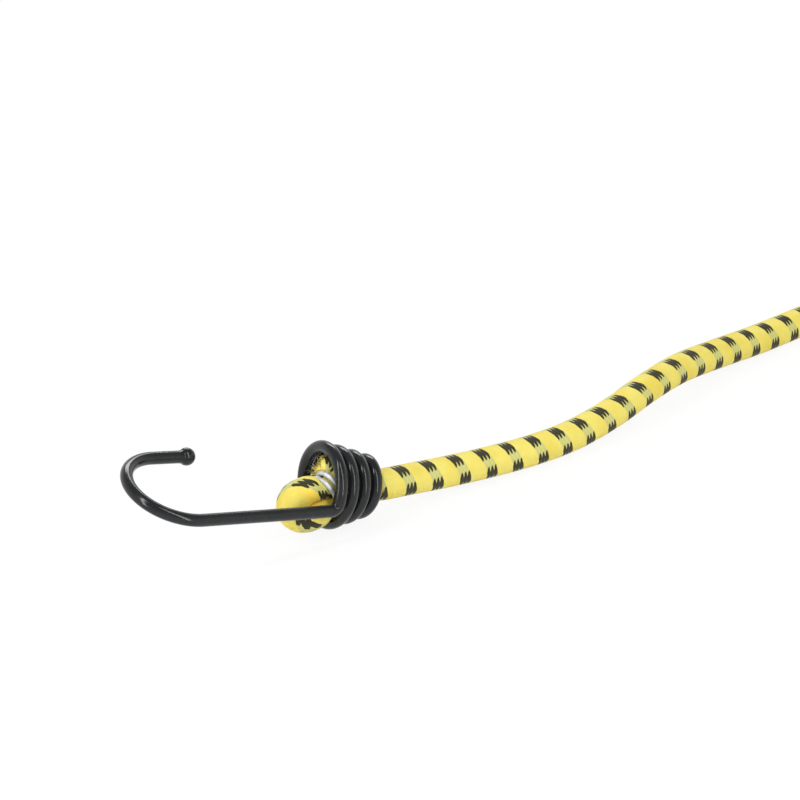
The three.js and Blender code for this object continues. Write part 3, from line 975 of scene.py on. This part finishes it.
foldSet = {
    # middle line in the coil's own frame, each with the share of the full thickness left there
    "into": [(16.775, 0, 0, 1), (13.2, 0, 0, 1), (9, -0.5, -0.3, 0.86)],
    "round": [(0.3, -3.0, -4.3, 0.90), (-2.3, -4.1, -5.7, 0.97), (-6.4, -4.4, -6.7, 0.89),
              (-9.8, -4.2, -4.7, 0.88), (-9.6, -4, -1.5, 0.88), (-6.4, -4.0, 0.35, 0.88),
              (-3.3, -3.8, 0.65, 0.80)],
    "out": [(1.9, -2.0, 3.9, 0.82), (1.4, -0.6, 4.8, 0.86), (0.8, 0.5, 5.3, 0.78)],
    "creaseAt": (-3.6, -3.9, -2.5),       # middle of the crease between the two legs
    "creaseFill": 0.32,                   # how much fuller each leg is on that side
    "fillPower": 1.5,
    "fillStart": (17, 5),                 # along the line: where that starts, and over what length it grows
    "fillEnd": (12, 4),                   # the same, counted back from the cut
    "otherLeg": 9,                        # places further apart than this along the line are on two legs
    "legSize": 1.04,
    "legClearance": 0.04,
    # painted bounce light: the deeper yellow drawn near the crease
    "creaseReach": 2.2,                   # how far from the other leg the deeper yellow reaches
    "creaseLeg": 6.5,                     # what otherLeg says, for the colour alone
    "creasePower": 1.2,
    # painted light: a warm, deeper yellow spot in front of the fold, over the shade that the hook's shank
    # casts there
    "warmLightAt": (-6.1, -7.2, -0.1),         # and a place in front where the photograph has it too
    "warmLightReach": 4.0,
    "clearance": 0.12,                    # between the fold and the hook's wire
    "clampClearance": 0.03,
    "swivelClearance": 0.05,
    "swivelDeg": (-5, 10, 20, 30, 40, 50, 60),
    "wireStep": 0.25,
    "pressRounds": 2,
    "legHalvings": 14,
    "wireHalvings": 12,
    "easeRounds": 2,
    "sides": 72,
    "step": 0.3,
    "stepsPerSpan": 24,
    # marks seen on the fold: turn of the black yarns, and how far along its middle line it lies
    "markTurns": [-2.58, -1.03, -0.49, -0.264, 0.0, 0.446, 0.809, 1.62],
    "markPlaces": [0, 13, 22, 26.4, 31, 36.3, 40.6, 51],
    "turn": -0.039,                       # the yarns' turn against the tube's own seam
    "swing": 0.06,
    "swingFrom": 225.0,
    "twist": 0.0062,
    "twistFrom": 38.0,
    "lean": 0.1,
    "leanFrom": 254.0,
    "narrow": 0.4,                        # how much closer the black yarns lie than the rest, past the bend
    "narrowFrom": 28.0,
    "narrowRise": 6.0,
    "wall": 0.84,                         # opening of the cut sheath, as a share of its radius
    "cutDepth": 0.6,
    "ragged": 0.35,                       # how uneven the cut is
    "waves": ((1.0, 5, 1), (0.7, 11, 0), (0.5, 17, 2)),      # height, number and phase of its waves
}


def legPoints(side, direction):
    s = clampSet
    along, across, _, centre = clampFrame(s)
    middle = centre + across * side * s["legSpacing"] / 2
    share = s["legDiameter"] / cordSet["diameter"]
    return [tuple(middle + along * step * s["legRun"]) + (share,) for step in (-direction, 0, direction)]


def foldLine(s):
    route = s["into"] + legPoints(-1, -1) + s["round"] + legPoints(1, 1) + s["out"]
    points = [p[:3] for p in route]
    shares = [(p[3],) for p in route]
    path, extra = chordSpline(points, s["stepsPerSpan"], shares)
    along = lengthsAlong(path)
    targets = np.linspace(0, along[-1], int(along[-1] / s["step"]) + 1)
    path = np.stack([np.interp(targets, along, path[:, k]) for k in range(3)], axis=1)
    share = np.interp(targets, along, extra[:, 0])
    return path, share, targets


def blocks(count, size=2000):
    return [slice(first, first + size) for first in range(0, count, size)]


def nearest(points, line):
    # distance from each point to a line of points
    best = np.zeros(len(points))
    for part in blocks(len(points)):
        best[part] = np.linalg.norm(points[part, None] - line[None], axis=2).min(axis=1)
    return best


def largestShare(isFree, count, rounds):
    # halves the range again and again, to find how much of each radius stays free
    low, high = np.zeros(count), np.ones(count)
    for _ in range(rounds):
        t = (low + high) / 2
        free = isFree(t)
        low = np.where(free, t, low)
        high = np.where(free, high, t)
    return low


def pressLegs(s, path, along, legs, own, direction, radii):
    # each leg against the other: both give way alike
    centres = path[own]
    for part in blocks(len(radii)):
        radius = radii[part]
        points = centres[part] + direction[part] * radius[:, None]
        gap = np.linalg.norm(points[:, None] - path[None], axis=2)
        far = np.abs(along[own[part]][:, None] - along[None]) > s["otherLeg"]
        depth = np.where(far, gap - legs[None], np.inf)
        other = depth.argmin(axis=1)

        def isFree(t):
            q = centres[part] + direction[part] * (radius * t)[:, None]
            toOther = np.linalg.norm(q - path[other], axis=1) - legs[other]
            return toOther > radius * t - legs[own[part]] + s["legClearance"]

        touched = depth.min(axis=1) < s["legClearance"]
        radii[part] = np.where(touched, radius * largestShare(isFree, len(radius), s["legHalvings"]), radius)


def pressWires(s, centres, direction, radii):
    # against the clamp's wire and the hook's wire, as it lies and as the hook swivels
    hook, hookRadius = hookLine(hookSet)[0], hookSet["wire"] / 2
    pressing = [(clampLine(clampSet), clampSet["wire"] / 2 + s["clampClearance"]),
                (hook, hookRadius + s["clearance"])]
    for degrees in s["swivelDeg"]:
        pressing.append((hook @ np.array(rotation(-degrees, "X")).T, hookRadius + s["swivelClearance"]))
    for line, room in pressing:
        line = evenPath(line, s["wireStep"])
        index = np.where(nearest(centres + direction * radii[:, None], line) < room)[0]

        def isFree(t):
            return nearest(centres[index] + direction[index] * (radii[index] * t)[:, None], line) >= room

        radii[index] *= largestShare(isFree, len(index), s["wireHalvings"])


def paintedBounceLight(s, points, path, along, legs, own):
    # painted bounce light: 1 where the skin meets the other leg and at the warm place in front, 0 away from
    # both
    bounceLight = 1 - np.clip(np.linalg.norm(points - vec(*s["warmLightAt"]), axis=1) / s["warmLightReach"], 0, 1)
    for part in blocks(len(points)):
        gap = np.linalg.norm(points[part, None] - path[None], axis=2) - legs[None]
        far = np.abs(along[own[part]][:, None] - along[None]) > s["creaseLeg"]
        nearness = 1 - np.clip(np.where(far, gap, np.inf).min(axis=1) / s["creaseReach"], 0, 1)
        bounceLight[part] = np.maximum(bounceLight[part], nearness)
    return bounceLight ** s["creasePower"]


def foldRings(s):
    # rings of the soft fold: round, fuller towards the crease, pressed in by the wires it touches
    path, share, along = foldLine(s)
    legs = share * cordSet["diameter"] / 2
    ups, sides = carriedFrames(path, vec(0, 0, 1))
    angles = np.linspace(0, 2 * math.pi, s["sides"], endpoint=False)[None, :, None]
    count, around = len(path), s["sides"]
    directions = ups[:, None] * np.cos(angles) + sides[:, None] * np.sin(angles)
    inward = vec(*s["creaseAt"]) - path
    inward /= np.linalg.norm(inward, axis=1)[:, None]
    facing = np.clip(np.einsum("iak,ik->ia", directions, inward), 0, 1)
    start, grow = s["fillStart"]
    end, fade = s["fillEnd"]
    fill = np.clip((along - start) / grow, 0, 1) * np.clip((along[-1] - end - along) / fade, 0, 1)
    fuller = s["creaseFill"] * fill[:, None] * facing ** s["fillPower"]
    radii = (cordSet["diameter"] / 2 * (share[:, None] + fuller)).reshape(-1)
    own = np.repeat(np.arange(count), around)
    direction = directions.reshape(-1, 3)
    for _ in range(s["pressRounds"]):
        pressLegs(s, path, along, legs * s["legSize"], own, direction, radii)
    pressWires(s, path[own], direction, radii)

    # the braid bridges narrow hollows, so what was pressed in is eased a little
    grid = radii.reshape(count, around)
    for _ in range(s["easeRounds"]):
        eased = (np.roll(grid, 1, 1) + grid * 2 + np.roll(grid, -1, 1)) / 4
        eased[1:-1] = (eased[:-2] + eased[1:-1] * 2 + eased[2:]) / 4
        grid = np.minimum(grid, eased)
    rings = path[:, None] + directions * grid[:, :, None]
    return path, along, rings, paintedBounceLight(s, rings.reshape(-1, 3), path, along, legs, own)


def foldMap(s, along):
    # the braid is drawn out over the bend and leans where the leg is pinched
    turns = markCount(along, s["markTurns"], s["markPlaces"])
    u, v = np.meshgrid(np.linspace(0, 1, s["sides"] + 1), turns)
    lean = np.sin((u - s["leanFrom"] / 360) * 2 * math.pi) * s["lean"]
    swing = np.sin((u - s["swingFrom"] / 360) * 2 * math.pi) * s["swing"]
    twist = (s["twistFrom"] - along[:, None]) * s["twist"]
    u = u + s["turn"] + swing + twist
    v = v - lean
    fromBand = (v - u + sheathLook["patchTurn"]) * 2 * math.pi
    narrow = s["narrow"] * np.clip((along[:, None] - s["narrowFrom"]) / s["narrowRise"], 0, 1)
    v = v + narrow * np.sin(fromBand) / (2 * math.pi)
    return np.stack([u, v], axis=2)


def buildFold(letter, s, path, along, rings, bounceLight):
    matrix = endMatrix(letter)
    rings = [placed(ring, matrix) for ring in rings]
    rim = rings[-1]
    middle = rim.mean(axis=0)
    last = placed(path[[-3, -1]], matrix)
    outward = unit(last[1] - last[0])
    angles = np.linspace(0, 2 * math.pi, s["sides"], endpoint=False)
    uneven = sum(height * np.sin(angles * number + phase) for height, number, phase in s["waves"])
    rim = rim + outward * (uneven * s["ragged"] / 2)[:, None]
    rings[-1] = rim
    inner = middle + (rim - middle) * s["wall"]
    rings = rings + [inner, inner - outward * s["cutDepth"]]
    yarnMap = foldMap(s, along)
    yarnMap = np.concatenate([yarnMap, yarnMap[-1:], yarnMap[-1:]])
    obj = mappedTube("foldedEnd" + letter.upper(), rings, yarnMap, sheathFinish)
    crease = obj.data.attributes.new("crease", "FLOAT", "POINT")
    crease.data.foreach_set("value", np.pad(bounceLight, (0, len(obj.data.vertices) - len(bounceLight))))
    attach(obj, "cord")
    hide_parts("sheath_end_" + letter, "core_end_" + letter)
    buildCutEnd(letter, cutSet, rim, middle, outward)


foldShape = foldRings(foldSet)
for letter in "ab":
    buildFold(letter, foldSet, *foldShape)
print("stage: folds and cut ends made")

# Floor and light

lightSet = {
    "world": 0.465,
    "ceiling": 0.35,                      # how bright gloss sees the room overhead; the horizon is 1
    "ceilingRange": (0.2, 0.8),
    "front": 0.68,                        # and how bright gloss sees it towards the front
    "frontRange": (-0.2, -0.8),
    "floorHalf": 6.0,
    "floorColour": (0.93, 0.93, 0.93, 1),
    "floorGlow": 0.9,
    "white": (1, 1, 1, 1),
    "aim": (-0.05, 0.02, 0.0),
    "boxes": [
        # name, place, width, height, watts
        ("leftStrip", (-0.75, -0.5, 0.6), 0.12, 1.5, 7.2),
        ("rightStrip", (0.35, -0.62, 0.62), 0.12, 1.5, 6.5),
        ("backBox", (-0.1, 0.9, 0.7), 0.6, 0.25, 3.4),
    ],
}


def seenRays(n):
    # 1 where a ray shows the floor or the room as such, 0 where it lights the object
    paths = n.add("ShaderNodeLightPath").outputs
    seen = n.math("ADD", paths["Is Camera Ray"], paths["Is Glossy Ray"], clamp=True)
    return n.math("ADD", seen, paths["Is Transmission Ray"], clamp=True), paths["Is Glossy Ray"]


def makeStage(s):
    material, n = newMaterial("paleFloor")
    matt = n.add("ShaderNodeBsdfDiffuse", {"Color": s["floorColour"]})
    glow = n.add("ShaderNodeEmission", {"Color": s["white"], "Strength": 1.0})
    share = n.times(seenRays(n)[0], s["floorGlow"])
    n.shown(n.add("ShaderNodeMixShader", {0: share, 1: matt.outputs[0], 2: glow.outputs[0]}))
    half = s["floorHalf"]
    verts = [(-half, -half, 0), (half, -half, 0), (half, half, 0), (-half, half, 0)]
    meshObject("floor", verts, [(0, 1, 2, 3)], material, smooth=False)

    world = bpy.data.worlds.new("softRoom")
    scene.world = world
    world.use_nodes = True
    w = Nodes(world.node_tree)
    seen, glossy = seenRays(w)
    way = w.add("ShaderNodeSeparateXYZ", {0: w.add("ShaderNodeTexCoord").outputs["Generated"]})
    upward = w.step(way.outputs[2], *s["ceilingRange"])
    forward = w.times(w.step(way.outputs[1], *s["frontRange"]), glossy)
    strength = w.times(w.minus(1.0, w.times(upward, 1.0 - s["ceiling"])),
                       w.minus(1.0, w.times(forward, 1.0 - s["front"])))
    lit = w.add("ShaderNodeBackground", {"Color": s["white"], "Strength": s["world"]})
    bright = w.add("ShaderNodeBackground", {"Color": s["white"], "Strength": strength})
    w.shown(w.add("ShaderNodeMixShader", {0: seen, 1: lit.outputs[0], 2: bright.outputs[0]}), "World")

    for name, place, width, height, watts in s["boxes"]:
        data = bpy.data.lights.new(name, "AREA")
        data.shape = "RECTANGLE"
        data.size = width
        data.size_y = height
        data.energy = watts
        lamp = bpy.data.objects.new(name, data)
        lamp.location = place
        lamp.rotation_euler = (Vector(s["aim"]) - Vector(place)).to_track_quat("-Z", "Y").to_euler()
        scene.collection.objects.link(lamp)


makeStage(lightSet)
print("stage: floor and lights set")
